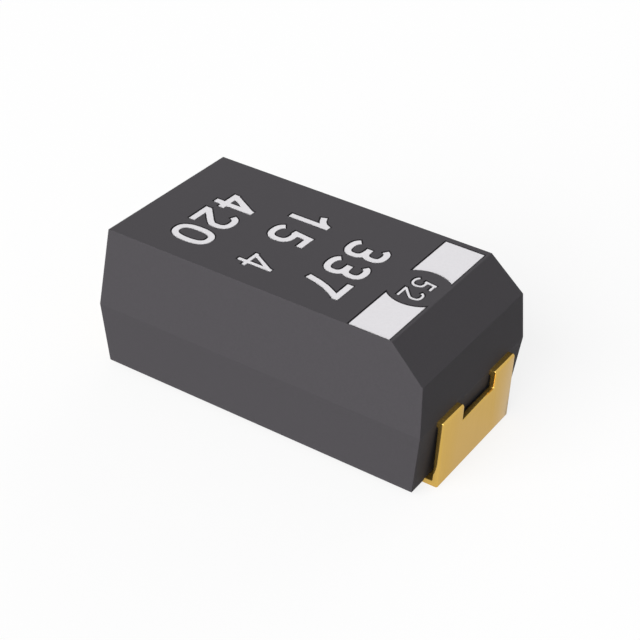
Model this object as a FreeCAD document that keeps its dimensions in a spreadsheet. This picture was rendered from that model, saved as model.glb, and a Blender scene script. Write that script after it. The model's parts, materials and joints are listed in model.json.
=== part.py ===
import FreeCAD, Part
import math
import os
import Sketcher

# Moulded tantalum chip capacitor, case size 6032-28, in millimetres.
# The origin is on the board under the middle of the part and +Z is up.
# +X is the anode end, with the bevel, the stripe and the notched lead.

# Driving dimensions, in millimetres and degrees
SIZES = {
    # The outline over the leads, and the levels above the board
    "overall_length": 6.0,
    "overall_height": 2.5,
    "parting_height": 1.17,
    # The epoxy case
    "case_width": 3.2,
    "draft_angle": 5,
    "bevel_leg": 0.53,
    "edge_radius": 0.03,
    "recess_depth": 0.03,
    "recess_side_gap": 0.05,
    "recess_end_gap": 0.1,
    "pad_length": 2.8,
    "pad_width": 2.4,
    "pad_board_gap": 0.04,
    # The lead strips
    "lead_thickness": 0.1,
    "lead_width": 2.2,
    "bend_radius": 0.015,
    "bend_crown_radius": 0.04,
    "foot_length": 1.3,
    "foot_gap": 0.02,
    "notch_width": 1.0,
    "notch_depth": 0.3,
    "notch_inset": 0.1,
    # The anode lead inside the case
    "anode_shoulder": 0.35,
    "anode_tab_width": 1.2,
    "weld_length": 0.5,
    "weld_sink": 0.03,
    # The cathode lead inside the case
    "cathode_shoulder": 0.15,
    "cathode_tab_width": 1.6,
    "cathode_tab_length": 1.8,
    "cathode_step_angle": 62,
    "cathode_step_radius": 0.06,
    "cathode_step_gap": 0.2,
    # The anode wire and its washer
    "wire_diameter": 0.38,
    "wire_depth": 1.2,
    "wire_free_length": 0.15,
    "washer_diameter": 0.8,
    "washer_thickness": 0.12,
    # The walls of epoxy round the coated pellet
    "cathode_end_wall": 0.88,
    "side_wall": 0.38,
    "roof_wall": 0.35,
    "floor_wall": 0.25,
    # The pellet's rounded edges, and its coats
    "pellet_edge": 0.15,
    "electrolyte_thickness": 0.05,
    "graphite_thickness": 0.03,
    "graphite_setback": 0.25,
    "silver_thickness": 0.04,
    "silver_setback": 0.15,
    "adhesive_thickness": 0.04,
    "adhesive_margin": 0.15,
    # The stripe, a pale layer on the floor of a shallow mark in the case's top
    "stripe_length": 0.66,
    "stripe_bevel_gap": 0.065,
    "stripe_side_gap": 0.085,
    "window_radius": 0.5,
    "mark_depth": 0.02,
    "mark_layer": 0.012,
}

doc = FreeCAD.newDocument("tantalum_capacitor")
sheet = doc.addObject("Spreadsheet::Sheet", "Sizes")
for row, (alias, number) in enumerate(SIZES.items(), start=1):
    sheet.set(f"A{row}", str(number))
    sheet.setAlias(f"A{row}", alias)
doc.recompute()


class Size:
    """A length or an angle: its number now, and the sheet expression that gives it."""

    def __init__(self, number, text):
        self.number = number
        self.text = text

    def __add__(self, other):
        other = as_size(other)
        return Size(self.number + other.number, f"({self.text} + {other.text})")

    def __sub__(self, other):
        other = as_size(other)
        return Size(self.number - other.number, f"({self.text} - {other.text})")

    def __mul__(self, other):
        other = as_size(other)
        return Size(self.number * other.number, f"({self.text} * {other.text})")

    def __truediv__(self, other):
        other = as_size(other)
        return Size(self.number / other.number, f"({self.text} / {other.text})")

    def __neg__(self):
        return Size(-self.number, f"(-1 * {self.text})")


def as_size(value):
    """Plain numbers, such as the 2 of a half, join an expression as they are."""
    return value if isinstance(value, Size) else Size(value, str(value))


ZERO = as_size(0)


def of_sheet(alias):
    return Size(SIZES[alias], f"Sizes.{alias}")


def tangent(angle):
    return Size(math.tan(math.radians(angle.number)), f"tan({angle.text})")


def bind(thing, prop, value):
    """Ties a property of an object to the sheet."""
    thing.setExpression(prop, value.text)


# Bodies, sketches and features
def new_body(name):
    return doc.addObject("PartDesign::Body", name)


def origin_plane(body, role):
    return [plane for plane in body.Origin.OriginFeatures if plane.Role == role][0]


def new_sketch(body, name, role, level=None):
    """An empty sketch on one of the body's origin planes, raised to a level where one is given."""
    sketch = body.newObject("Sketcher::SketchObject", name)
    sketch.AttachmentSupport = (origin_plane(body, role), [""])
    sketch.MapMode = "FlatFace"
    if level is not None:
        bind(sketch, "AttachmentOffset.Base.z", level)
    return sketch


def place_point(sketch, geometry, vertex, name, place):
    """Ties one point of the sketch to its distances from the sketch's origin."""
    for kind, axis, value in (("DistanceX", "x", place[0]), ("DistanceY", "y", place[1])):
        rule = sketch.addConstraint(
            Sketcher.Constraint(kind, -1, 1, geometry, vertex, value.number))
        sketch.renameConstraint(rule, f"{name}_{axis}")
        bind(sketch, f"Constraints.{name}_{axis}", value)


def add_outline(sketch, corners, prefix="corner"):
    """A closed outline of straight sides through corners that are given as pairs of sizes."""
    points = [FreeCAD.Vector(x.number, y.number, 0) for x, y in corners]
    first = sketch.GeometryCount
    count = len(points)
    for index in range(count):
        sketch.addGeometry(Part.LineSegment(points[index], points[(index + 1) % count]))
    for index in range(count):
        following = first + (index + 1) % count
        sketch.addConstraint(Sketcher.Constraint("Coincident", first + index, 2, following, 1))
        place_point(sketch, first + index, 1, f"{prefix}{index}", corners[index])


def rectangle(x_low, x_high, y_low, y_high):
    return [(x_low, y_low), (x_high, y_low), (x_high, y_high), (x_low, y_high)]


def add_circle(sketch, centre, radius, name):
    middle = FreeCAD.Vector(centre[0].number, centre[1].number, 0)
    ring = sketch.addGeometry(Part.Circle(middle, FreeCAD.Vector(0, 0, 1), radius.number))
    place_point(sketch, ring, 3, name, centre)
    rule = sketch.addConstraint(Sketcher.Constraint("Radius", ring, radius.number))
    sketch.renameConstraint(rule, f"{name}_radius")
    bind(sketch, f"Constraints.{name}_radius", radius)


def add_feature(body, kind, name, sketch, length, both_ways=False, backwards=False):
    feature = body.newObject(f"PartDesign::{kind}", name)
    feature.Profile = sketch
    bind(feature, "Length", length)
    feature.SideType = "Symmetric" if both_ways else "One side"
    feature.Reversed = backwards
    doc.recompute()
    return feature


def round_edges(body, name, before, edges, radius):
    feature = body.newObject("PartDesign::Fillet", name)
    feature.Base = (before, edges)
    bind(feature, "Radius", radius)
    doc.recompute()
    return feature


def same(a, b):
    """Whether two places are one, to within what the sketch solver leaves."""
    return abs(a - b) < 1e-5


def cross_edges(shape, x, z):
    """The edges that run across the part, along Y, at one place of its side view."""
    names = []
    for number, edge in enumerate(shape.Edges, start=1):
        if all(same(v.X, x.number) and same(v.Z, z.number) for v in edge.Vertexes):
            names.append(f"Edge{number}")
    return names


# The places that several pieces share
half_length = of_sheet("overall_length") / 2
top = of_sheet("overall_height")
parting = of_sheet("parting_height")
lead = of_sheet("lead_thickness")
bend = of_sheet("bend_radius")
leg_inside = half_length - lead
case_end = leg_inside - bend
half_case_width = of_sheet("case_width") / 2
half_lead_width = of_sheet("lead_width") / 2
foot_end = half_length - of_sheet("foot_length")
recess_top = lead + of_sheet("foot_gap")
case_bottom = recess_top - of_sheet("recess_depth")
draft = tangent(of_sheet("draft_angle"))
strip_bottom = parting - lead
beyond = half_length * 2

# The wire lies on the anode lead's tab
wire_radius = of_sheet("wire_diameter") / 2
wire_level = parting + wire_radius - of_sheet("weld_sink")
wire_end = case_end - of_sheet("anode_shoulder")
tab_start = wire_end - of_sheet("weld_length")
washer_front = tab_start - of_sheet("wire_free_length")

# How far each coat stands out from the pellet
electrolyte = of_sheet("electrolyte_thickness")
graphite = electrolyte + of_sheet("graphite_thickness")
silver = graphite + of_sheet("silver_thickness")

# The cathode lead's tab lies on the case's floor, and the glued pellet on the tab
tab_bottom = case_bottom + of_sheet("floor_wall")
tab_top = tab_bottom + lead
adhesive_top = tab_top + of_sheet("adhesive_thickness")

# The pellet takes up the room that the walls, the coats and the washer leave
pellet_back = of_sheet("cathode_end_wall") - case_end + silver
pellet_front = washer_front - of_sheet("washer_thickness")
pellet_side = half_case_width - of_sheet("side_wall") - silver
pellet_bottom = adhesive_top + silver
pellet_top = top - of_sheet("roof_wall") - silver

# Where each coat stops at the wire's end
electrolyte_front = pellet_front + electrolyte
graphite_front = electrolyte_front - of_sheet("graphite_setback")
silver_front = graphite_front - of_sheet("silver_setback")
silver_back = pellet_back - silver

# The ends of the cathode lead's tab, measured towards -X
step_foot = of_sheet("cathode_step_gap") - silver_back
tab_tip = step_foot - of_sheet("cathode_tab_length")

# The stripe ends short of the bevel and of the case's sides
stripe_stop = case_end - (top - parting) * draft - of_sheet("bevel_leg") - of_sheet("stripe_bevel_gap")
stripe_start = stripe_stop - of_sheet("stripe_length")
stripe_side = half_case_width - (top - parting) * draft - of_sheet("stripe_side_gap")


# The strip leads
def mirrored(corners):
    return [(-x, z) for x, z in corners]


def folded_strip(name, inner_corners, foot_side):
    """Leg and foot of a lead, and what lies inside the case, from corners for the +X side.

    The side view is padded across the strip's width, and then the two bends are rounded. They are
    pressed sharp, so the radius outside is less than the strip's thickness.
    """
    body = new_body(name)
    outline = [
        (foot_end, ZERO),
        (half_length, ZERO),
        (half_length, parting),
    ] + inner_corners + [
        (leg_inside, strip_bottom),
        (leg_inside, lead),
        (foot_end, lead),
    ]
    if foot_side < 0:
        outline = mirrored(outline)
    sketch = new_sketch(body, f"{name}_side_view", "XZ_Plane")
    add_outline(sketch, outline)
    strip = add_feature(body, "Pad", f"{name}_strip", sketch, of_sheet("lead_width"), both_ways=True)
    outside = half_length if foot_side > 0 else -half_length
    inside = leg_inside if foot_side > 0 else -leg_inside
    hollow = cross_edges(strip.Shape, inside, strip_bottom) + cross_edges(strip.Shape, inside, lead)
    round_edges(body, f"{name}_inner_bends", strip, hollow, bend)
    inner = body.Tip
    crown = cross_edges(inner.Shape, outside, parting) + cross_edges(inner.Shape, outside, ZERO)
    round_edges(body, f"{name}_outer_bends", inner, crown, of_sheet("bend_crown_radius"))
    return body


def narrow_inside(body, name, x_low, x_high, width):
    """Trims both sides of the strip inside the case, above its foot."""
    half = width / 2
    sketch = new_sketch(body, f"{name}_trim_outline", "XY_Plane", recess_top)
    add_outline(sketch, rectangle(x_low, x_high, half, half_lead_width + lead), "left")
    add_outline(sketch, rectangle(x_low, x_high, -half_lead_width - lead, -half), "right")
    add_feature(body, "Pocket", f"{name}_trim", sketch, top, backwards=True)


def make_anode_lead():
    inner_corners = [(tab_start, parting), (tab_start, strip_bottom)]
    body = folded_strip("anode_lead", inner_corners, 1)
    notch = new_sketch(body, "notch_side_view", "XZ_Plane")
    notch_back = case_end - of_sheet("notch_inset")
    notch_bottom = parting - of_sheet("notch_depth")
    add_outline(notch, rectangle(notch_back, half_length + lead, notch_bottom, parting + lead))
    add_feature(body, "Pocket", "notch", notch, of_sheet("notch_width"), both_ways=True)
    narrow_inside(body, "anode_lead", tab_start - lead, wire_end, of_sheet("anode_tab_width"))
    return body


def make_cathode_lead():
    """The strip steps down inside the case and runs flat under the coated pellet."""
    angle = of_sheet("cathode_step_angle")
    step_head = step_foot + (parting - tab_top) / tangent(angle)
    shift = lead * tangent(angle / 2)
    inner_corners = [
        (step_head, parting),
        (step_foot, tab_top),
        (tab_tip, tab_top),
        (tab_tip, tab_bottom),
        (step_foot + shift, tab_bottom),
        (step_head + shift, strip_bottom),
    ]
    body = folded_strip("cathode_lead", inner_corners, -1)
    radius = of_sheet("cathode_step_radius")
    shape = body.Tip.Shape
    hollow = (cross_edges(shape, -step_foot, tab_top)
              + cross_edges(shape, -step_head - shift, strip_bottom))
    round_edges(body, "step_inner_bends", body.Tip, hollow, radius)
    shape = body.Tip.Shape
    crown = (cross_edges(shape, -step_foot - shift, tab_bottom)
             + cross_edges(shape, -step_head, parting))
    round_edges(body, "step_outer_bends", body.Tip, crown, radius + lead)
    narrow_inside(body, "cathode_lead", of_sheet("cathode_shoulder") - case_end,
                  lead - tab_tip, of_sheet("cathode_tab_width"))
    return body


# The pellet, its coats, its wire and the washer
def block(name, x_low, x_high, grow):
    """The pressed block, with rounded long edges, grown by the coats on it."""
    body = new_body(name)
    side = pellet_side + grow
    sketch = new_sketch(body, f"{name}_section", "YZ_Plane", x_low)
    add_outline(sketch, rectangle(-side, side, pellet_bottom - grow, pellet_top + grow))
    pad = add_feature(body, "Pad", f"{name}_pad", sketch, x_high - x_low)
    long_edges = []
    for number, edge in enumerate(pad.Shape.Edges, start=1):
        ends = edge.Vertexes
        if same(ends[0].Y, ends[1].Y) and same(ends[0].Z, ends[1].Z):
            long_edges.append(f"Edge{number}")
    round_edges(body, f"{name}_edges", pad, long_edges, of_sheet("pellet_edge") + grow)
    return body


def rod(name, x_low, x_high, radius):
    """A round bar on the wire's axis."""
    body = new_body(name)
    sketch = new_sketch(body, f"{name}_circle", "YZ_Plane", x_low)
    add_circle(sketch, (ZERO, wire_level), radius, f"{name}_ring")
    add_feature(body, "Pad", f"{name}_pad", sketch, x_high - x_low)
    return body


def cut(name, base, tool):
    piece = doc.addObject("Part::Cut", name)
    piece.Base = base
    piece.Tool = tool
    doc.recompute()
    return piece


def fuse(name, shapes):
    piece = doc.addObject("Part::MultiFuse", name)
    piece.Shapes = shapes
    doc.recompute()
    return piece


def make_adhesive():
    """The glue pad fills the gap between the silver and the cathode lead's tab."""
    body = new_body("silver_adhesive")
    margin = of_sheet("adhesive_margin")
    half = of_sheet("cathode_tab_width") / 2 - margin
    outline = new_sketch(body, "adhesive_outline", "XY_Plane", tab_top)
    add_outline(outline, rectangle(silver_back + margin, -tab_tip - margin, -half, half))
    add_feature(body, "Pad", "adhesive_pad", outline, of_sheet("adhesive_thickness"))
    return body


def make_wire():
    """The wire is pressed flat where it is welded down on the anode lead's tab."""
    body = rod("anode_wire", pellet_front - of_sheet("wire_depth"), wire_end, wire_radius)
    flat = new_sketch(body, "weld_side_view", "XZ_Plane")
    add_outline(flat, rectangle(tab_start, case_end, parting - wire_radius, parting))
    add_feature(body, "Pocket", "weld_flat", flat, of_sheet("lead_width"), both_ways=True)
    return body


# The stripe
def make_stripe_block(name, side, thickness):
    """One half of the stripe, a rectangle with a round bite out of its inner end, or its mark's room."""
    body = new_body(name)
    floor = top - of_sheet("mark_depth")
    low, high = (ZERO, stripe_side) if side > 0 else (-stripe_side, ZERO)
    outline = new_sketch(body, f"{name}_outline", "XY_Plane", floor)
    add_outline(outline, rectangle(stripe_start, stripe_stop, low, high))
    add_feature(body, "Pad", f"{name}_pad", outline, thickness)
    bite = new_sketch(body, f"{name}_bite_circle", "XY_Plane", floor)
    add_circle(bite, ((stripe_start + stripe_stop) / 2, ZERO), of_sheet("window_radius"), "bite")
    add_feature(body, "Pocket", f"{name}_bite", bite, thickness, backwards=True)
    return body


# The moulded case
def make_case_block():
    """The outside of the moulding, before the inner pieces are taken out of it."""
    body = new_body("case_block")
    outline = new_sketch(body, "parting_outline", "XY_Plane", parting)
    add_outline(outline, rectangle(-case_end, case_end, -half_case_width, half_case_width))
    upper = add_feature(body, "Pad", "upper_half", outline, top - parting)
    bind(upper, "TaperAngle", -of_sheet("draft_angle"))
    lower = add_feature(body, "Pad", "lower_half", outline, parting - case_bottom, backwards=True)
    bind(lower, "TaperAngle", -of_sheet("draft_angle"))
    doc.recompute()
    top_end = case_end - (top - parting) * draft
    bevel = body.newObject("PartDesign::Chamfer", "bevel")
    bevel.Base = (lower, cross_edges(lower.Shape, top_end, top))
    bind(bevel, "Size", of_sheet("bevel_leg"))
    doc.recompute()
    outer_edges = []
    for number, edge in enumerate(bevel.Shape.Edges, start=1):
        if not all(same(v.Z, parting.number) for v in edge.Vertexes):
            outer_edges.append(f"Edge{number}")
    round_edges(body, "outer_edges", bevel, outer_edges, of_sheet("edge_radius"))
    for name, side in (("anode_recess", 1), ("cathode_recess", -1)):
        recess = new_sketch(body, f"{name}_outline", "XY_Plane", case_bottom)
        inner = foot_end - of_sheet("recess_end_gap")
        half = half_lead_width + of_sheet("recess_side_gap")
        ends = (inner, beyond) if side > 0 else (-beyond, -inner)
        add_outline(recess, rectangle(ends[0], ends[1], -half, half))
        add_feature(body, "Pocket", name, recess, of_sheet("recess_depth"), backwards=True)
    pad_outline = new_sketch(body, "glue_pad_outline", "XY_Plane", case_bottom)
    half_pad = of_sheet("pad_length") / 2
    half_pad_width = of_sheet("pad_width") / 2
    add_outline(pad_outline, rectangle(-half_pad, half_pad, -half_pad_width, half_pad_width))
    add_feature(body, "Pad", "glue_pad", pad_outline, case_bottom - of_sheet("pad_board_gap"),
                backwards=True)
    return body


# The pieces, from the inside out
anode_lead = make_anode_lead()
cathode_lead = make_cathode_lead()
anode_wire = make_wire()
silver_adhesive = make_adhesive()

pellet_block = block("pellet_block", pellet_back, pellet_front, ZERO)
electrolyte_block = block("electrolyte_block", pellet_back - electrolyte, electrolyte_front, electrolyte)
graphite_block = block("graphite_block", pellet_back - graphite, graphite_front, graphite)
silver_block = block("silver_block", silver_back, silver_front, silver)
washer_disc = rod("washer_disc", pellet_front, washer_front, of_sheet("washer_diameter") / 2)

anode_pellet = cut("anode_pellet", pellet_block, anode_wire)
wire_washer = cut("wire_washer", washer_disc, anode_wire)
electrolyte_coat = cut("electrolyte_coat", electrolyte_block,
                       fuse("pellet_and_washer", [pellet_block, washer_disc]))
graphite_coat = cut("graphite_coat", graphite_block, electrolyte_block)
silver_coat = cut("silver_coat", silver_block, graphite_block)

# The epoxy fills all the room between its mould and the pieces inside
inserts = fuse("inserts", [silver_block, graphite_block, electrolyte_block, washer_disc, anode_wire,
                           silver_adhesive, anode_lead, cathode_lead])
filled_block = cut("filled_block", make_case_block(), inserts)

# The case is then marked, and the stripe's two halves lie in their marks
marks = fuse("marks", [make_stripe_block("left_mark", 1, of_sheet("mark_depth")),
                       make_stripe_block("right_mark", -1, of_sheet("mark_depth"))])
moulded_case = cut("moulded_case", filled_block, marks)
stripe_block_left = make_stripe_block("stripe_block_left", 1, of_sheet("mark_layer"))
stripe_block_right = make_stripe_block("stripe_block_right", -1, of_sheet("mark_layer"))

pieces = [moulded_case, anode_lead, cathode_lead, anode_pellet, anode_wire, wire_washer,
          electrolyte_coat, graphite_coat, silver_coat, silver_adhesive,
          stripe_block_left, stripe_block_right]

doc.recompute()
for thing in doc.Objects:
    if "Invalid" in thing.State or "Error" in thing.State:
        raise RuntimeError(f"{thing.Name} failed: {thing.State}")

os.makedirs("parts", exist_ok=True)
for piece in pieces:
    piece.Label = piece.Name
    shape = piece.Shape
    if shape.isNull() or not shape.isValid() or len(shape.Solids) != 1:
        raise RuntimeError(f"{piece.Label} is not one valid solid")
    shape.exportStep(f"parts/{piece.Label}.step")
    box = shape.BoundBox
    print(f"{piece.Label}: {shape.Volume:.4f} mm3, x {box.XMin:.3f} to {box.XMax:.3f}, "
          f"y {box.YMin:.3f} to {box.YMax:.3f}, z {box.ZMin:.3f} to {box.ZMax:.3f}")
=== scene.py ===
import json
import math

import bmesh
import bpy
from mathutils import Matrix, Vector, geometry


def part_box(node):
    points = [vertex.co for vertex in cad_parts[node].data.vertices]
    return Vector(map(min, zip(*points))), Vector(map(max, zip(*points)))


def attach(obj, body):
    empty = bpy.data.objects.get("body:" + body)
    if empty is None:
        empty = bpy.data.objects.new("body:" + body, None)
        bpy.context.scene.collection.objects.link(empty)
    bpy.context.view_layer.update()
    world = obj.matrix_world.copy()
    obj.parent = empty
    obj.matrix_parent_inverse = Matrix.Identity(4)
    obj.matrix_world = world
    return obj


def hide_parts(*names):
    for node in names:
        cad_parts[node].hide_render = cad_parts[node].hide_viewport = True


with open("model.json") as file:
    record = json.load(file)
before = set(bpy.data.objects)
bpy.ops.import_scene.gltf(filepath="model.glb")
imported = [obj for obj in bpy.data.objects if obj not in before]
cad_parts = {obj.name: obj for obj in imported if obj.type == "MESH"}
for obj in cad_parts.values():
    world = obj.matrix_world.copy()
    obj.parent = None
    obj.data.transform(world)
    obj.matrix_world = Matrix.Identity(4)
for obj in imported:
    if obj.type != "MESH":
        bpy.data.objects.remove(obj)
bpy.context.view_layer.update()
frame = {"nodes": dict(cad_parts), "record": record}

# A moulded chip capacitor on two folded leads, with one end bevelled and marks on its top.
# Shapes are worked out in millimetres in the part's frame. This is a millimetre in metres.
MM = 0.001
# Points nearer than this are one point
TINY = 1e-5


def lowest(node):
    """A node's lowest corner, in millimetres."""
    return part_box(node)[0] / MM


def highest(node):
    """A node's highest corner, in millimetres."""
    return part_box(node)[1] / MM


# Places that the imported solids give. X runs along the part, from the plain end to the bevelled one.
CASE_END, CASE_SIDE, TOP = highest("moulded_case")
PAD_LEVEL = lowest("moulded_case").z
LEAD_END, LEAD_SIDE, PARTING = highest("anode_lead")
FOOT_END = lowest("anode_lead").x
WIRE_END = highest("anode_wire").x
CATHODE_TAB_END = highest("cathode_lead").x
CATHODE_TAB_TOP = lowest("silver_adhesive").z
COAT_END = lowest("silver_coat").x
STRIPE_BACK, _, MARK_FLOOR = lowest("stripe_block_left")
STRIPE_FRONT, STRIPE_SIDE, MARK_TOP = highest("stripe_block_left")

# The case's other sizes
DRAFT = math.radians(5)
BEVEL_LEG = 0.53
EDGE_RADIUS = 0.01
EDGE_STEPS = 4
PAD_EDGE_RADIUS = 0.015
PAD_EDGE_STEPS = 2
RECESS_LEVEL = 0.12
BOTTOM = 0.09
RECESS_SIDE = LEAD_SIDE + 0.05
RECESS_END = FOOT_END - 0.1
PAD_LENGTH = 2.8
PAD_WIDTH = 2.4

# The lead strips' other sizes. A bend has one radius inside and another over its crown.
STRIP = 0.1
STRIP_EDGE_RADIUS = 0.012
STRIP_EDGE_STEPS = 2
BEND = 0.015
BEND_CROWN = 0.04
NOTCH_SIDE = 0.5
NOTCH_DEPTH = 0.3
NOTCH_INSET = 0.1
ANODE_TAB_SIDE = 0.6
WELD_LENGTH = 0.5
CATHODE_TAB_SIDE = 0.8
CATHODE_SHOULDER = 0.15
STEP_ANGLE = math.radians(62)
STEP_GAP = 0.2
STEP_RADIUS = 0.06

# The marks on the top. The stripe is printed a little off the middle.
STRIPE_SHIFT = -0.04
WINDOW_RADIUS = 0.51
MARK_GAP = 0.024

# How many straight steps stand for a right angle of a bend, at least for any bend, for the bowl of
# a figure, for a closed ring, and for the round end of a stripe
BEND_STEPS = 8
FEWEST_BEND_STEPS = 3
BOWL_STEPS = 16
RING_STEPS = 48
WINDOW_STEPS = 24

# Two faces meet in an edge if they turn by more than this: on the case, at a lead's slot in it, and
# on a strip
CASE_EDGE_TURN = math.radians(15)
SLOT_EDGE_TURN = math.radians(45)
STRIP_EDGE_TURN = math.radians(60)
# The profile of a bevel that is part of a circle
CIRCLE_PROFILE = 0.5


# Meshes
def add_face(bm, corners):
    """A face with corners of its own, which weld joins to the others."""
    return bm.faces.new([bm.verts.new(corner) for corner in corners])


def weld(bm):
    """Joins the points that lie in one place."""
    bmesh.ops.remove_doubles(bm, verts=bm.verts, dist=TINY)


def new_object(name, mesh, material):
    """A piece of the object: it rides on the part's one body."""
    piece = bpy.data.objects.new(name, mesh)
    bpy.context.scene.collection.objects.link(piece)
    mesh.materials.append(material)
    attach(piece, "root")
    return piece


def mesh_of(name, bm):
    """A mesh in metres, with its faces turned outwards."""
    bmesh.ops.recalc_face_normals(bm, faces=bm.faces)
    bmesh.ops.scale(bm, vec=(MM, MM, MM), verts=bm.verts)
    mesh = bpy.data.meshes.new(name)
    bm.to_mesh(mesh)
    return mesh


def add_modifiers(piece, settings):
    """Adds modifiers in order. Each is its kind and its values."""
    for kind, values in settings:
        modifier = piece.modifiers.new(kind.lower(), kind)
        for key, value in values.items():
            setattr(modifier, key, value)


# The outside of the case
def drafted(half, level):
    """Half the case's length or width at a level: it narrows away from the parting line."""
    return half - abs(level - PARTING) * math.tan(DRAFT)


def end_point(side, y, level):
    """A point on an end face. Side is 1 at the bevelled end and -1 at the plain one."""
    return Vector((side * drafted(CASE_END, level), y, level))


def corner(side_x, side_y, level):
    """A point where an end face meets a long side."""
    return end_point(side_x, side_y * drafted(CASE_SIDE, level), level)


BEVEL_TOP = drafted(CASE_END, TOP) - BEVEL_LEG
BEVEL_FOOT = TOP - BEVEL_LEG * math.cos(DRAFT)


def ridge(side_y):
    """Where the bevel's upper edge meets a long side."""
    return Vector((BEVEL_TOP, side_y * drafted(CASE_SIDE, TOP), TOP))


def add_end(bm, side, slots, upper_level):
    """The two drafted faces of an end, cut by the lead's slots and by the foot's recess."""
    along_parting = [corner(side, -1, PARTING)]
    along_slots = [corner(side, -1, PARTING)]
    for low, high in slots:
        along_parting += [end_point(side, low, PARTING), end_point(side, high, PARTING)]
        along_slots += [
            end_point(side, low, PARTING),
            end_point(side, low, PARTING - STRIP),
            end_point(side, high, PARTING - STRIP),
            end_point(side, high, PARTING),
        ]
    add_face(bm, along_parting + [
        corner(side, 1, PARTING),
        corner(side, 1, upper_level),
        corner(side, -1, upper_level),
    ])
    add_face(bm, along_slots + [
        corner(side, 1, PARTING),
        corner(side, 1, BOTTOM),
        end_point(side, RECESS_SIDE, BOTTOM),
        end_point(side, RECESS_SIDE, RECESS_LEVEL),
        end_point(side, -RECESS_SIDE, RECESS_LEVEL),
        end_point(side, -RECESS_SIDE, BOTTOM),
        corner(side, -1, BOTTOM),
    ])


def add_block(bm):
    """The faces of the drafted block, bevelled along one end of the top."""
    anode_slots = [(-LEAD_SIDE, -NOTCH_SIDE), (NOTCH_SIDE, LEAD_SIDE)]
    add_end(bm, 1, anode_slots, BEVEL_FOOT)
    add_end(bm, -1, [(-LEAD_SIDE, LEAD_SIDE)], TOP)
    add_face(bm, [corner(-1, -1, TOP), ridge(-1), ridge(1), corner(-1, 1, TOP)])
    add_face(bm, [ridge(-1), corner(1, -1, BEVEL_FOOT), corner(1, 1, BEVEL_FOOT), ridge(1)])
    for side in (-1, 1):
        add_face(bm, [
            corner(-1, side, PARTING),
            corner(1, side, PARTING),
            corner(1, side, BEVEL_FOOT),
            ridge(side),
            corner(-1, side, TOP),
        ])
        add_face(bm, [
            corner(-1, side, PARTING),
            corner(1, side, PARTING),
            corner(1, side, BOTTOM),
            corner(-1, side, BOTTOM),
        ])
        add_face(bm, [
            Vector((RECESS_END, 0, BOTTOM)),
            Vector((RECESS_END, side * RECESS_SIDE, BOTTOM)),
            end_point(1, side * RECESS_SIDE, BOTTOM),
            corner(1, side, BOTTOM),
            corner(-1, side, BOTTOM),
            end_point(-1, side * RECESS_SIDE, BOTTOM),
            Vector((-RECESS_END, side * RECESS_SIDE, BOTTOM)),
            Vector((-RECESS_END, 0, BOTTOM)),
            Vector((-PAD_LENGTH / 2, 0, BOTTOM)),
            Vector((-PAD_LENGTH / 2, side * PAD_WIDTH / 2, BOTTOM)),
            Vector((PAD_LENGTH / 2, side * PAD_WIDTH / 2, BOTTOM)),
            Vector((PAD_LENGTH / 2, 0, BOTTOM)),
        ])


def add_recess(bm, side):
    """The room over a foot: its ceiling, its inner wall and its two side walls."""
    inner = side * RECESS_END
    add_face(bm, [
        Vector((inner, -RECESS_SIDE, RECESS_LEVEL)),
        Vector((inner, RECESS_SIDE, RECESS_LEVEL)),
        end_point(side, RECESS_SIDE, RECESS_LEVEL),
        end_point(side, -RECESS_SIDE, RECESS_LEVEL),
    ])
    add_face(bm, [
        Vector((inner, -RECESS_SIDE, RECESS_LEVEL)),
        Vector((inner, RECESS_SIDE, RECESS_LEVEL)),
        Vector((inner, RECESS_SIDE, BOTTOM)),
        Vector((inner, 0, BOTTOM)),
        Vector((inner, -RECESS_SIDE, BOTTOM)),
    ])
    for y in (-RECESS_SIDE, RECESS_SIDE):
        add_face(bm, [
            Vector((inner, y, BOTTOM)),
            end_point(side, y, BOTTOM),
            end_point(side, y, RECESS_LEVEL),
            Vector((inner, y, RECESS_LEVEL)),
        ])


def add_glue_pad(bm):
    """The low pad under the case, between the feet."""
    half = PAD_LENGTH / 2
    side = PAD_WIDTH / 2
    rim = [(half, 0), (half, side), (-half, side), (-half, 0), (-half, -side), (half, -side)]
    for index, start in enumerate(rim):
        end = rim[(index + 1) % len(rim)]
        add_face(bm, [
            Vector((*start, BOTTOM)),
            Vector((*end, BOTTOM)),
            Vector((*end, PAD_LEVEL)),
            Vector((*start, PAD_LEVEL)),
        ])
    add_face(bm, [Vector((*place, PAD_LEVEL)) for place in rim])


def round_off(bm, edges, radius, steps, is_round):
    """Rounds edges and notes the new faces as round."""
    made = bmesh.ops.bevel(bm, geom=edges, offset=radius, offset_type="OFFSET", segments=steps,
                           profile=CIRCLE_PROFILE, affect="EDGES", clamp_overlap=False,
                           loop_slide=True)
    for face in made["faces"]:
        face[is_round] = 1


def add_outside(bm, is_round, to_round):
    """The block with rounded edges, its recesses and its glue pad. The parting line stays sharp."""
    add_block(bm)
    weld(bm)
    bmesh.ops.recalc_face_normals(bm, faces=bm.faces)
    for edge in bm.edges:
        at_parting = all(abs(vert.co.z - PARTING) < TINY for vert in edge.verts)
        turns = len(edge.link_faces) == 2 and edge.calc_face_angle() > CASE_EDGE_TURN
        edge[to_round] = int(turns and not at_parting)
    add_recess(bm, 1)
    add_recess(bm, -1)
    add_glue_pad(bm)
    weld(bm)
    bmesh.ops.recalc_face_normals(bm, faces=bm.faces)
    round_off(bm, [edge for edge in bm.edges if edge[to_round]], EDGE_RADIUS, EDGE_STEPS, is_round)
    rim = [
        edge for edge in bm.edges
        if all(abs(vert.co.z - PAD_LEVEL) < TINY for vert in edge.verts)
        and edge.calc_face_angle() > CASE_EDGE_TURN
    ]
    round_off(bm, rim, PAD_EDGE_RADIUS, PAD_EDGE_STEPS, is_round)


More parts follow.
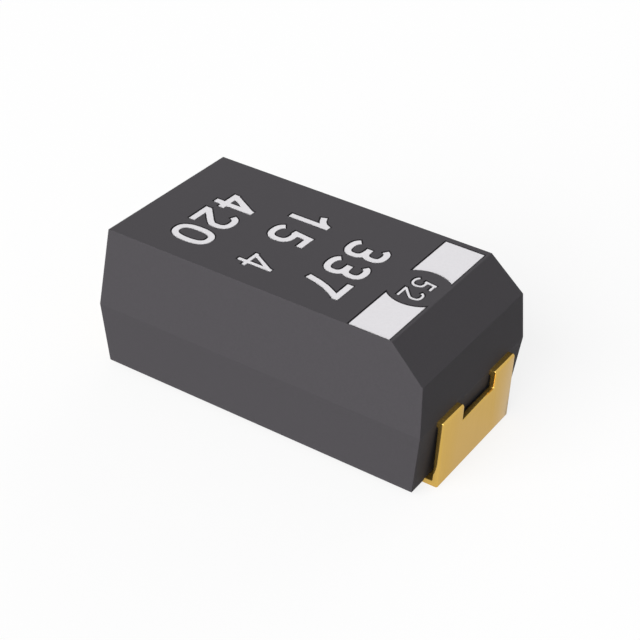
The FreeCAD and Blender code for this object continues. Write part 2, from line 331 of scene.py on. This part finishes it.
# The inside of the case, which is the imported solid's own
def borders_slot(edge):
    """Whether an edge borders the slot that a lead leaves the case by."""
    return edge.calc_face_angle() > SLOT_EDGE_TURN and all(
        abs(abs(vert.co.x) - drafted(CASE_END, vert.co.z)) < TINY
        and abs(vert.co.y) < LEAD_SIDE + TINY
        and PARTING - STRIP - TINY < vert.co.z < PARTING + TINY
        for vert in edge.verts
    )


def add_cavity(bm):
    """Adds the walls of the room that the leads and the coated pellet fill.

    The outside is what can be reached from the top without crossing the border of a slot.
    """
    solid = bmesh.new()
    solid.from_mesh(frame["nodes"]["moulded_case"].data)
    bmesh.ops.scale(solid, vec=(1 / MM, 1 / MM, 1 / MM), verts=solid.verts)
    weld(solid)
    first = max(solid.faces, key=lambda face: face.calc_center_median().z)
    outside = {first}
    waiting = [first]
    while waiting:
        for edge in waiting.pop().edges:
            if borders_slot(edge):
                continue
            for face in edge.link_faces:
                if face not in outside:
                    outside.add(face)
                    waiting.append(face)
    bmesh.ops.delete(solid, geom=list(outside), context="FACES")
    inside = bpy.data.meshes.new("cavity")
    solid.to_mesh(inside)
    solid.free()
    bm.from_mesh(inside)
    bpy.data.meshes.remove(inside)
    weld(bm)


# Marks. A shape is a list of loops, and a point is in it where an odd number of them go round it.
# Each mark is a pale layer on the floor of a room, which is a gap wider than the mark.
FIGURE_HEIGHT = 0.69
# The power of a bowl's curve. A plain ellipse has 2, and a fuller one more.
ELLIPSE = 2
FULL = 2.5


def bowl(centre, radii, start, end, steps=BOWL_STEPS, fullness=FULL):
    """Points of an ellipse, or of a fuller one, between two angles in degrees."""
    points = []
    for step in range(steps + 1):
        angle = math.radians(start + (end - start) * step / steps)
        across, up = (
            math.copysign(abs(part) ** (2 / fullness), part)
            for part in (math.cos(angle), math.sin(angle))
        )
        points.append((centre[0] + radii[0] * across, centre[1] + radii[1] * up))
    return points


# The middle lines of the figures' strokes, in a box 0.45 wide and FIGURE_HEIGHT high
FIGURES = {
    "0": [bowl((0.225, 0.345), (0.182, 0.297), 0, 360, RING_STEPS)],
    "1": [[(0.255, 0), (0.255, 0.7)], [(0.02, 0.47), (0.12, 0.51), (0.2, 0.575), (0.255, 0.68)]],
    "2": [
        bowl((0.205, 0.465), (0.18, 0.178), 160, -25) + [(0.3, 0.3), (0.16, 0.18), (0.033, 0.07)],
        [(0, 0.053), (0.448, 0.053)],
    ],
    "3": [
        bowl((0.2, 0.5), (0.165, 0.145), 155, -90),
        bowl((0.2, 0.2), (0.195, 0.15), 90, -155),
        [(0.13, 0.352), (0.24, 0.352)],
    ],
    "4": [[(0.32, 0), (0.32, 0.7)], [(0, 0.19), (0.448, 0.19)], [(0.33, 0.67), (0.05, 0.2)]],
    "5": [
        [(0.1, 0.64), (0.4, 0.64)],
        [(0.13, 0.69), (0.086, 0.335)],
        bowl((0.2, 0.225), (0.195, 0.173), 118, -155),
    ],
    "7": [
        [(0, 0.642), (0.45, 0.642)],
        [(0.4, 0.63), (0.33, 0.52), (0.25, 0.37), (0.19, 0.2), (0.147, 0)],
    ],
}

# Each row of figures: its text, where its first figure stands, its height, its pitch and its stroke
ROWS = {
    "figures_front": ("337", (0.366, 0.571), FIGURE_HEIGHT, 0.575, 0.1),
    "figures_middle": ("15", (-0.826, 0.843), FIGURE_HEIGHT, 0.585, 0.1),
    "figures_back": ("420", (-2.021, 0.576), FIGURE_HEIGHT, 0.575, 0.1),
    "figure_small": ("4", (-0.73, -0.68), 0.58, 0.4, 0.055),
    "figures_window": ("52", (1.65, 0.214), 0.38, 0.34, 0.035),
}


def stroke_shape(path, width, grow):
    """A line of even width, with mitred corners and square ends. A path may close on itself.

    It is made larger by grow on every side.
    """
    points = [Vector(point) for point in path]
    is_ring = (points[0] - points[-1]).length < TINY
    if is_ring:
        points.pop()
    left = []
    right = []
    for index, point in enumerate(points):
        on = points[(index + 1) % len(points)] - point
        behind = point - points[index - 1]
        if not is_ring and index == 0:
            behind = on
        if not is_ring and index == len(points) - 1:
            on = behind
        middle = (behind.normalized() + on.normalized()).normalized()
        across = Vector((-middle.y, middle.x)) * (width / 2 + grow) / middle.dot(on.normalized())
        if not is_ring and index in (0, len(points) - 1):
            point = point + middle * (grow if index else -grow)
        left.append(point + across)
        right.append(point - across)
    return [left, right] if is_ring else [left + right[::-1]]


def row_shapes(text, start, height, pitch, stroke, grow):
    """A row of figures on the top: they stand up along +X and are read along -Y."""
    share = height / FIGURE_HEIGHT
    shapes = []
    for place, figure in enumerate(text):
        for path in FIGURES[figure]:
            sized = [(across * share, up * share) for across, up in path]
            shapes.append([
                [(start[0] + point.y, start[1] - place * pitch - point.x) for point in loop]
                for loop in stroke_shape(sized, stroke, grow)
            ])
    return shapes


def stripe_shapes(side, grow):
    """Half of the stripe: a rectangle with a round bite out of its inner end."""
    back = STRIPE_BACK - grow
    front = STRIPE_FRONT + grow
    outer = STRIPE_SIDE + grow
    radius = WINDOW_RADIUS - grow
    turn = math.degrees(math.asin((front - back) / 2 / radius))
    middle = ((back + front) / 2, 0)
    bite = bowl(middle, (radius, radius), 90 - turn, 90 + turn, WINDOW_STEPS, ELLIPSE)
    loop = [(back, outer), (front, outer)] + bite
    return [[[(x, side * y + STRIPE_SHIFT) for x, y in loop]]]


def is_in_loop(loop, point):
    """Whether a closed loop goes round a point."""
    inside = False
    for index, (x, y) in enumerate(loop):
        last_x, last_y = loop[index - 1]
        if (y > point.y) != (last_y > point.y):
            if point.x < x + (last_x - x) * (point.y - y) / (last_y - y):
                inside = not inside
    return inside


def is_in_shapes(shapes, point):
    """Whether a point is in one of the shapes."""
    return any(sum(is_in_loop(loop, point) for loop in shape) % 2 for shape in shapes)


# The kind of cutting that keeps only the triangles within the outer loop
WITHIN_BORDER = 1
# Corners of triangles that agree to this many digits are one place
PLACE_DIGITS = 6


def split_top(border, marks):
    """Cuts the top into triangles along the marks and the rooms that they lie in.

    Each triangle comes with the name of its mark, if it has one, and whether it is in a room.
    """
    loops = [border]
    for shapes, rooms in marks.values():
        loops += [loop for shape in shapes + rooms for loop in shape]
    points = []
    edges = []
    for loop in loops:
        first = len(points)
        points += [Vector(point) for point in loop]
        edges += [(first + i, first + (i + 1) % len(loop)) for i in range(len(loop))]
    cut = geometry.delaunay_2d_cdt(points, edges, [], WITHIN_BORDER, TINY)
    places, _, triangles = cut[:3]
    for triangle in triangles:
        corners = [places[index] for index in triangle]
        middle = sum(corners, Vector((0, 0))) / len(corners)
        owners = [name for name, (shapes, _) in marks.items() if is_in_shapes(shapes, middle)]
        in_room = any(is_in_shapes(rooms, middle) for _, rooms in marks.values())
        yield corners, owners[0] if owners else None, in_room


def add_walls(bm, triangles, low, high):
    """Upright walls along the edges that only one of the triangles has."""
    walls = []
    uses = {}
    for corners in triangles:
        for index in range(len(corners)):
            ends = (corners[index - 1], corners[index])
            key = frozenset(tuple(round(part, PLACE_DIGITS) for part in end) for end in ends)
            uses.setdefault(key, []).append(ends)
    for ends_list in uses.values():
        if len(ends_list) == 1:
            start, end = ends_list[0]
            corners = [(*start, low), (*end, low), (*end, high), (*start, high)]
            walls.append(add_face(bm, corners))
    return walls


# The place of the rooms' material among the case's own. It is a darker epoxy, painted shade in the
# rooms round the marks.
ROOM_SHADE_MATERIAL = 1


def mark_top(bm, marks):
    """Cuts the marks' rooms into the case's top and gives the triangles of each mark."""
    at_top = [face for face in bm.faces if face.calc_center_median().z > TOP - TINY]
    top_face = max(at_top, key=lambda face: face.calc_area())
    border = [tuple(vert.co.xy) for vert in top_face.verts]
    bmesh.ops.delete(bm, geom=[top_face], context="FACES_ONLY")
    found = {name: [] for name in marks}
    sunk = []
    room_faces = []
    for corners, owner, in_room in split_top(border, marks):
        face = add_face(bm, [(*place, MARK_FLOOR if in_room else TOP) for place in corners])
        if in_room:
            sunk.append(corners)
            room_faces.append(face)
        if owner:
            found[owner].append(corners)
    room_faces += add_walls(bm, sunk, MARK_FLOOR, TOP)
    # The rooms' floors and walls take the darker epoxy: painted shade in the recesses round the marks
    for face in room_faces:
        face.material_index = ROOM_SHADE_MATERIAL
    weld(bm)
    return found


# Normals and pieces
def round_normal(vert, face, is_round):
    """A rounded edge takes the normals of the flat faces that it joins.

    A corner with no flat face takes the mean normal of the faces on its side of the parting.
    """
    flat = [other.normal for other in vert.link_faces if not other[is_round]]
    if flat:
        return max(flat, key=face.normal.dot)
    near = [other.normal for other in vert.link_faces if other.normal.z * face.normal.z >= 0]
    return sum(near, Vector()).normalized()


def corner_normals(bm, is_round):
    """A normal for each corner of each face, so that flat faces look flat up to their rounded edges."""
    return [
        round_normal(loop.vert, face, is_round) if face[is_round] else face.normal
        for face in bm.faces for loop in face.loops
    ]


def make_case(material, room_shade_material, marks):
    """The case with its marks' rooms, whose floors and walls are painted darker as shade. It gives the
    triangles of each mark.
    """
    bm = bmesh.new()
    is_round = bm.faces.layers.int.new("is_round")
    to_round = bm.edges.layers.int.new("to_round")
    add_outside(bm, is_round, to_round)
    found = mark_top(bm, marks)
    add_cavity(bm)
    bmesh.ops.recalc_face_normals(bm, faces=bm.faces)
    bm.normal_update()
    normals = corner_normals(bm, bm.faces.layers.int["is_round"])
    mesh = mesh_of("case_finished", bm)
    for polygon in mesh.polygons:
        polygon.use_smooth = True
    mesh.normals_split_custom_set([tuple(normal) for normal in normals])
    piece = new_object("case_finished", mesh, material)
    # The second material is the rooms' darker epoxy, painted shade round the marks
    mesh.materials.append(room_shade_material)
    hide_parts("moulded_case")
    return found


def make_mark(name, triangles, material):
    """The pale layer on the floor of one mark."""
    bm = bmesh.new()
    for corners in triangles:
        for level in (MARK_FLOOR, MARK_TOP):
            add_face(bm, [(*place, level) for place in corners])
    add_walls(bm, triangles, MARK_FLOOR, MARK_TOP)
    weld(bm)
    bmesh.ops.recalc_face_normals(bm, faces=bm.faces)
    return new_object(name, mesh_of(name, bm), material)


# The leads
class Fold:
    """A corner of a strip's outer face, in its side view, with the bend's radius on either face."""

    def __init__(self, x, z, face_radius=0.0, back_radius=0.0):
        self.place = Vector((x, z))
        self.face_radius = face_radius
        self.back_radius = back_radius


def rounded(before, place, after, radius):
    """The points that a corner of a path turns into."""
    back = (before - place).normalized()
    on = (after - place).normalized()
    turn = math.pi - back.angle(on)
    if radius == 0 or turn < TINY:
        return [place]
    half = (math.pi - turn) / 2
    centre = place + (back + on).normalized() * radius / math.sin(half)
    start = place + back * radius / math.tan(half) - centre
    sense = 1 if on.cross(back) > 0 else -1
    steps = max(FEWEST_BEND_STEPS, round(BEND_STEPS * turn / (math.pi / 2)))
    return [
        centre + Matrix.Rotation(sense * turn * step / steps, 2) @ start
        for step in range(steps + 1)
    ]


def strip_faces(folds):
    """The strip's outer face and its back, as two paths with the same number of points."""
    places = [fold.place for fold in folds]
    backs = []
    for index, place in enumerate(places):
        ahead = (places[min(index + 1, len(places) - 1)] - place).normalized()
        behind = (place - places[max(index - 1, 0)]).normalized()
        ahead = ahead if ahead.length > 0 else behind
        behind = behind if behind.length > 0 else ahead
        middle = (ahead + behind).normalized()
        backs.append(place + Vector((middle.y, -middle.x)) * STRIP / middle.dot(ahead))
    face = []
    back = []
    for index, fold in enumerate(folds):
        if index in (0, len(folds) - 1):
            face.append(places[index])
            back.append(backs[index])
            continue
        face += rounded(*places[index - 1:index + 2], fold.face_radius)
        back += rounded(*backs[index - 1:index + 2], fold.back_radius)
    return face, back


def strip_cells(face, columns, width_at):
    """The cells of the strip that the lead fills: a step along its face, and two columns across."""
    for step in range(len(face) - 1):
        middle = (face[step] + face[step + 1]) / 2
        inner, outer = width_at(middle.x, middle.y)
        for low, high in zip(columns, columns[1:]):
            if inner <= abs(low + high) / 2 <= outer:
                yield step, low, high


def make_lead(name, node, folds, columns, width_at, material):
    """A lead stamped from strip and folded.

    The columns divide the strip across. For a place in the side view, width_at gives the nearest
    and the farthest distance from the middle that the lead fills there.
    """
    face, back = strip_faces(folds)
    bm = bmesh.new()
    uses = {}
    for step, low, high in strip_cells(face, columns, width_at):
        for path in (face, back):
            start, end = path[step:step + 2]
            add_face(bm, [
                (start.x, low, start.y),
                (end.x, low, end.y),
                (end.x, high, end.y),
                (start.x, high, start.y),
            ])
        for side in (
            ((step, low), (step + 1, low)),
            ((step, high), (step + 1, high)),
            ((step, low), (step, high)),
            ((step + 1, low), (step + 1, high)),
        ):
            uses[side] = uses.get(side, 0) + 1
    for ((step, y), (other_step, other_y)), count in uses.items():
        if count == 1:
            add_face(bm, [
                (face[step].x, y, face[step].y),
                (face[other_step].x, other_y, face[other_step].y),
                (back[other_step].x, other_y, back[other_step].y),
                (back[step].x, y, back[step].y),
            ])
    weld(bm)
    mesh = mesh_of(name, bm)
    for polygon in mesh.polygons:
        polygon.use_smooth = True
    piece = new_object(name, mesh, material)
    add_modifiers(piece, [
        ("BEVEL", {
            "width": STRIP_EDGE_RADIUS * MM,
            "segments": STRIP_EDGE_STEPS,
            "limit_method": "ANGLE",
            "angle_limit": STRIP_EDGE_TURN,
            "use_clamp_overlap": False,
        }),
        ("WEIGHTED_NORMAL", {"keep_sharp": False}),
    ])
    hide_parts(node)


def make_anode_lead(material):
    """The notched lead at the bevelled end, with the tab that the wire is welded to."""
    notch_back = CASE_END - NOTCH_INSET
    notch_bottom = PARTING - NOTCH_DEPTH

    def width_at(x, z):
        if x < WIRE_END and z > PARTING / 2:
            return 0, ANODE_TAB_SIDE
        if x > notch_back and z > notch_bottom:
            return NOTCH_SIDE, LEAD_SIDE
        return 0, LEAD_SIDE

    folds = [
        Fold(WIRE_END - WELD_LENGTH, PARTING),
        Fold(WIRE_END, PARTING),
        Fold(notch_back, PARTING),
        Fold(LEAD_END, PARTING, BEND_CROWN, BEND),
        Fold(LEAD_END, notch_bottom),
        Fold(LEAD_END, 0, BEND_CROWN, BEND),
        Fold(FOOT_END, 0),
    ]
    columns = [-LEAD_SIDE, -ANODE_TAB_SIDE, -NOTCH_SIDE, NOTCH_SIDE, ANODE_TAB_SIDE, LEAD_SIDE]
    make_lead("anode_lead_finished", "anode_lead", folds, columns, width_at, material)


def make_cathode_lead(material):
    """The lead at the plain end, which steps down inside the case and runs under the pellet."""
    step_foot = COAT_END - STEP_GAP
    step_head = step_foot - (PARTING - CATHODE_TAB_TOP) / math.tan(STEP_ANGLE)
    shoulder = CATHODE_SHOULDER - CASE_END

    def width_at(x, z):
        return 0, CATHODE_TAB_SIDE if x > shoulder and z > STRIP else LEAD_SIDE

    folds = [
        Fold(-FOOT_END, 0),
        Fold(-LEAD_END, 0, BEND_CROWN, BEND),
        Fold(-LEAD_END, PARTING, BEND_CROWN, BEND),
        Fold(shoulder, PARTING),
        Fold(step_head, PARTING, STEP_RADIUS + STRIP, STEP_RADIUS),
        Fold(step_foot, CATHODE_TAB_TOP, STEP_RADIUS, STEP_RADIUS + STRIP),
        Fold(CATHODE_TAB_END, CATHODE_TAB_TOP),
    ]
    columns = [-LEAD_SIDE, -CATHODE_TAB_SIDE, CATHODE_TAB_SIDE, LEAD_SIDE]
    make_lead("cathode_lead_finished", "cathode_lead", folds, columns, width_at, material)


# Materials
NOISE_DETAIL = 3
# Nearly all of a noise lies between these two values
NOISE_LOW = 0.3
NOISE_HIGH = 0.7
BUMP_STRENGTH = 0.4


def start_material(name, metallic, specular, tint):
    """A material with a shader whose even values are set on the shader itself."""
    material = bpy.data.materials.new(name)
    material.use_nodes = True
    nodes = material.node_tree.nodes
    shader = nodes["Principled BSDF"]
    shader.inputs["Metallic"].default_value = metallic
    shader.inputs["Specular IOR Level"].default_value = specular
    shader.inputs["Specular Tint"].default_value = (*tint, 1)
    return material, nodes, material.node_tree.links, shader


def noise(nodes, links, patches):
    """Noise in the part's frame, with as many patches a millimetre along X, Y and Z as given."""
    place = nodes.new("ShaderNodeTexCoord")
    mapping = nodes.new("ShaderNodeMapping")
    mapping.inputs["Scale"].default_value = [count / MM for count in patches]
    texture = nodes.new("ShaderNodeTexNoise")
    texture.inputs["Scale"].default_value = 1
    texture.inputs["Detail"].default_value = NOISE_DETAIL
    links.new(place.outputs["Object"], mapping.inputs["Vector"])
    links.new(mapping.outputs["Vector"], texture.inputs["Vector"])
    return texture.outputs["Fac"]


def blend_colours(nodes, links, factor, dark, light):
    """Spreads noise over the colours between two."""
    ramp = nodes.new("ShaderNodeValToRGB")
    low, high = ramp.color_ramp.elements
    low.position = NOISE_LOW
    low.color = (*dark, 1)
    high.position = NOISE_HIGH
    high.color = (*light, 1)
    links.new(factor, ramp.inputs["Fac"])
    return ramp.outputs["Color"]


def spread(nodes, links, factor, low, high):
    """Spreads noise over a range of values."""
    ranged = nodes.new("ShaderNodeMapRange")
    ranged.inputs["From Min"].default_value = NOISE_LOW
    ranged.inputs["From Max"].default_value = NOISE_HIGH
    ranged.inputs["To Min"].default_value = low
    ranged.inputs["To Max"].default_value = high
    links.new(factor, ranged.inputs["Value"])
    return ranged.outputs["Result"]


def add_bump(nodes, links, shader, height, distance):
    """Lets noise raise the surface by up to a distance in millimetres."""
    bump = nodes.new("ShaderNodeBump")
    bump.inputs["Strength"].default_value = BUMP_STRENGTH
    bump.inputs["Distance"].default_value = distance * MM
    links.new(height, bump.inputs["Height"])
    links.new(bump.outputs["Normal"], shader.inputs["Normal"])


def make_surface(name, dark, light, roughness, patches, bump, metallic=0, specular=0.5,
                 tint=(1, 1, 1)):
    """A finish whose colour, roughness and height vary with one noise."""
    material, nodes, links, shader = start_material(name, metallic, specular, tint)
    factor = noise(nodes, links, patches)
    links.new(blend_colours(nodes, links, factor, dark, light), shader.inputs["Base Color"])
    links.new(spread(nodes, links, factor, *roughness), shader.inputs["Roughness"])
    add_bump(nodes, links, shader, factor, bump)
    return material


# A finish for each slot of the record, and one for the darker epoxy in the rooms round the marks, which
# is painted shade
FINISHES = {
    "case_epoxy": {
        "dark": (0.060, 0.0565, 0.0615),
        "light": (0.066, 0.062, 0.068),
        "roughness": (0.6, 0.72),
        "patches": (30, 30, 30),
        "bump": 0.002,
        "specular": 0.1,
    },
    # Darker epoxy for the rooms' floors and walls round the marks: painted shade in those recesses
    "painted_shade_epoxy": {
        "dark": (0.034, 0.032, 0.035),
        "light": (0.038, 0.0355, 0.039),
        "roughness": (0.75, 0.85),
        "patches": (30, 30, 30),
        "bump": 0.002,
        "specular": 0.1,
    },
    "lead_plating": {
        "dark": (0.64, 0.41, 0.094),
        "light": (0.67, 0.435, 0.11),
        "roughness": (0.08, 0.12),
        "patches": (1.5, 40, 1.5),
        "bump": 0.0003,
        "metallic": 0.85,
        "tint": (0.82, 0.74, 0.62),
    },
    "sintered_tantalum": {
        "dark": (0.13, 0.13, 0.14),
        "light": (0.19, 0.19, 0.2),
        "roughness": (0.75, 0.9),
        "patches": (40, 40, 40),
        "bump": 0.01,
        "metallic": 0.6,
    },
    "tantalum_wire": {
        "dark": (0.4, 0.4, 0.43),
        "light": (0.5, 0.5, 0.53),
        "roughness": (0.3, 0.45),
        "patches": (1, 40, 40),
        "bump": 0.001,
        "metallic": 1,
    },
    "washer_plastic": {
        "dark": (0.82, 0.82, 0.8),
        "light": (0.88, 0.88, 0.86),
        "roughness": (0.35, 0.5),
        "patches": (10, 10, 10),
        "bump": 0.001,
    },
    "electrolyte": {
        "dark": (0.025, 0.025, 0.027),
        "light": (0.038, 0.038, 0.04),
        "roughness": (0.7, 0.85),
        "patches": (25, 25, 25),
        "bump": 0.004,
    },
    "graphite": {
        "dark": (0.04, 0.04, 0.044),
        "light": (0.06, 0.06, 0.066),
        "roughness": (0.45, 0.6),
        "patches": (20, 20, 20),
        "bump": 0.003,
        "metallic": 0.3,
    },
    "silver_paint": {
        "dark": (0.55, 0.55, 0.53),
        "light": (0.66, 0.66, 0.64),
        "roughness": (0.5, 0.65),
        "patches": (15, 15, 15),
        "bump": 0.003,
        "metallic": 0.7,
    },
    "laser_mark": {
        "dark": (0.76, 0.745, 0.77),
        "light": (0.79, 0.775, 0.8),
        "roughness": (0.75, 0.9),
        "patches": (25, 25, 25),
        "bump": 0.002,
        "specular": 0.2,
    },
}


# Floor, lights and camera. The floor's reach is in metres. Its share of white is what it takes from
# the light on it, and the rest is its own glow, so that it looks white and still shows a shadow.
FLOOR_REACH = 0.5
FLOOR_SHARE = 0.2
SKY_LEVEL = 0.34
LAMP_SPREAD = math.radians(60)
# Each lamp: how strong it is, where it shines from, and whether surfaces reflect it
LAMPS = {
    "front_lamp": (1.29, (-0.13, -0.9, 0.42), True),
    "back_lamp": (0.35, (-0.1, 0.97, 0.2), False),
}


def seen_rays(nodes, links):
    """One for the rays that come from the camera, a reflection or a transmission, and else zero."""
    path = nodes.new("ShaderNodeLightPath")
    total = path.outputs["Is Camera Ray"]
    for name in ("Is Glossy Ray", "Is Transmission Ray"):
        either = nodes.new("ShaderNodeMath")
        either.operation = "MAXIMUM"
        links.new(total, either.inputs[0])
        links.new(path.outputs[name], either.inputs[1])
        total = either.outputs[0]
    return total


def make_floor():
    """A pale floor, which looks white in the light and still takes the object's shadow."""
    mesh = bpy.data.meshes.new("floor")
    signs = ((-1, -1), (1, -1), (1, 1), (-1, 1))
    corners = [(x * FLOOR_REACH, y * FLOOR_REACH, 0) for x, y in signs]
    mesh.from_pydata(corners, [], [range(len(corners))])
    floor = bpy.data.objects.new("floor", mesh)
    bpy.context.scene.collection.objects.link(floor)
    material = bpy.data.materials.new("floor")
    material.use_nodes = True
    nodes = material.node_tree.nodes
    links = material.node_tree.links
    nodes.clear()
    matte = nodes.new("ShaderNodeBsdfDiffuse")
    matte.inputs["Color"].default_value = (FLOOR_SHARE, FLOOR_SHARE, FLOOR_SHARE, 1)
    glow = nodes.new("ShaderNodeEmission")
    level = nodes.new("ShaderNodeMath")
    level.operation = "MULTIPLY"
    level.inputs[1].default_value = 1 - FLOOR_SHARE
    links.new(seen_rays(nodes, links), level.inputs[0])
    links.new(level.outputs[0], glow.inputs["Strength"])
    both = nodes.new("ShaderNodeAddShader")
    links.new(matte.outputs[0], both.inputs[0])
    links.new(glow.outputs[0], both.inputs[1])
    output = nodes.new("ShaderNodeOutputMaterial")
    links.new(both.outputs[0], output.inputs["Surface"])
    mesh.materials.append(material)


def make_sky():
    """An even soft light from all round, which is seen as white."""
    world = bpy.data.worlds.new("sky")
    bpy.context.scene.world = world
    world.use_nodes = True
    nodes = world.node_tree.nodes
    links = world.node_tree.links
    ranged = nodes.new("ShaderNodeMapRange")
    ranged.inputs["To Min"].default_value = SKY_LEVEL
    ranged.inputs["To Max"].default_value = 1
    links.new(seen_rays(nodes, links), ranged.inputs["Value"])
    nodes["Background"].inputs["Color"].default_value = (1, 1, 1, 1)
    links.new(ranged.outputs["Result"], nodes["Background"].inputs["Strength"])


def make_lamp(name, level, direction, is_reflected):
    """A wide soft lamp, far away. At level 1 a white surface that faces it renders as white."""
    lamp = bpy.data.lights.new(name, "SUN")
    lamp.energy = level * math.pi
    lamp.angle = LAMP_SPREAD
    holder = bpy.data.objects.new(name, lamp)
    holder.visible_glossy = is_reflected
    holder.rotation_mode = "QUATERNION"
    holder.rotation_quaternion = Vector(direction).to_track_quat("Z", "Y")
    bpy.context.scene.collection.objects.link(holder)


# The camera's place and sensor are in millimetres, and its nearest and farthest sight in metres
CAMERA_PLACE = Vector((10.783, -17.561, 14.902))
CAMERA_AZIMUTH = math.radians(31.15)
CAMERA_ELEVATION = math.radians(33.66)
CAMERA_ROLL = math.radians(3.27)
FRAME_PIXELS = 640
FOCAL_PIXELS = 1595.4
SENSOR = 36
NEAR = 0.001
FAR = 10


def make_camera():
    """The photograph's view. The camera leans a little, so its right side points up."""
    data = bpy.data.cameras.new("camera")
    data.sensor_width = SENSOR
    data.lens = FOCAL_PIXELS * SENSOR / FRAME_PIXELS
    data.clip_start = NEAR
    data.clip_end = FAR
    back = Vector((
        math.sin(CAMERA_AZIMUTH) * math.cos(CAMERA_ELEVATION),
        -math.cos(CAMERA_AZIMUTH) * math.cos(CAMERA_ELEVATION),
        math.sin(CAMERA_ELEVATION),
    ))
    level = Vector((math.cos(CAMERA_AZIMUTH), math.sin(CAMERA_AZIMUTH), 0))
    rise = back.cross(level)
    right = level * math.cos(CAMERA_ROLL) + rise * math.sin(CAMERA_ROLL)
    up = back.cross(right)
    camera = bpy.data.objects.new("camera", data)
    turned = Matrix((right, up, back)).transposed().to_4x4()
    camera.matrix_world = Matrix.Translation(CAMERA_PLACE * MM) @ turned
    bpy.context.scene.collection.objects.link(camera)
    bpy.context.scene.camera = camera


# The scene
scene = bpy.context.scene
scene.view_settings.view_transform = "Standard"
finishes = {name: make_surface(name, **values) for name, values in FINISHES.items()}
for subpart in frame["record"]["subparts"]:
    packed = frame["nodes"][subpart["node"]].data
    packed.materials.clear()
    packed.materials.append(finishes[subpart["material_slot"]])

# The halves of the stripe, and the side along Y that each is on
stripes = {"stripe_left_finished": 1, "stripe_right_finished": -1}
# Each mark's shapes and the shapes of its room
marks = {}
for name, side in stripes.items():
    marks[name] = (stripe_shapes(side, 0), stripe_shapes(side, MARK_GAP))
for name, row in ROWS.items():
    marks[name] = (row_shapes(*row, 0), row_shapes(*row, MARK_GAP))
# The rooms round the marks take a darker epoxy, painted shade
mark_triangles = make_case(finishes["case_epoxy"], finishes["painted_shade_epoxy"], marks)
for name, triangles in mark_triangles.items():
    piece = make_mark(name, triangles, finishes["laser_mark"])
    if name in stripes:
        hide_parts("stripe_block_left" if stripes[name] > 0 else "stripe_block_right")
make_anode_lead(finishes["lead_plating"])
make_cathode_lead(finishes["lead_plating"])
make_floor()
make_sky()
for name, lamp in LAMPS.items():
    make_lamp(name, *lamp)
make_camera()
